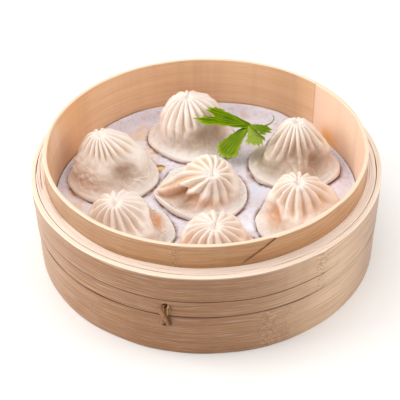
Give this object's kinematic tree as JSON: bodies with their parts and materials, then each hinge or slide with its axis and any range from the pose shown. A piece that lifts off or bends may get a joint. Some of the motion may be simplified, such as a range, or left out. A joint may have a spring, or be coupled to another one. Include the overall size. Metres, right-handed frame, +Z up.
{
  "type": "xiaolongbao soup dumplings",
  "caption": "Pleated soup dumplings resting on a perforated paper liner in an open round bamboo steamer tier, with a celery leaf sprig.",
  "frame": {"origin": "middle of the steamer's foot, on the surface it stands on", "axes": "+Z up; the rattan tie and the scarf joint face -Y"},
  "size_m": [0.21, 0.2101, 0.0713],
  "materials": {
    "bamboo_outer": "satin bamboo strip with fine grain",
    "bamboo_inner": "matte bamboo strip",
    "rattan": "satin rattan strand",
    "paper": "matte greaseproof paper, slightly damp",
    "dough": "soft translucent steamed dough with a moist sheen",
    "herb": "fresh leaf, satin"
  },
  "bodies": {
    "root": {"collar_hoop": "bamboo_outer", "upper_outer_hoop": "bamboo_outer", "lower_outer_hoop": "bamboo_outer", "upper_filler_inner": "bamboo_inner", "upper_filler_outer": "bamboo_inner", "lower_lining_hoop": "bamboo_inner", "floor_slat_01": "bamboo_inner", "floor_slat_02": "bamboo_inner", "floor_slat_03": "bamboo_inner", "floor_slat_04": "bamboo_inner", "floor_slat_05": "bamboo_inner", "floor_slat_06": "bamboo_inner", "floor_slat_07": "bamboo_inner", "floor_slat_08": "bamboo_inner", "floor_slat_09": "bamboo_inner", "floor_slat_10": "bamboo_inner", "floor_slat_11": "bamboo_inner", "floor_slat_12": "bamboo_inner", "floor_slat_13": "bamboo_inner", "cross_bar_1": "bamboo_inner", "cross_bar_2": "bamboo_inner", "cross_bar_3": "bamboo_inner", "rattan_tie": "rattan", "paper_liner": "paper", "dumpling_1": "dough", "dumpling_2": "dough", "dumpling_3": "dough", "dumpling_4": "dough", "dumpling_5": "dough", "dumpling_6": "dough", "dumpling_7": "dough", "herb_sprig": "herb"}
  },
  "joints": []
}
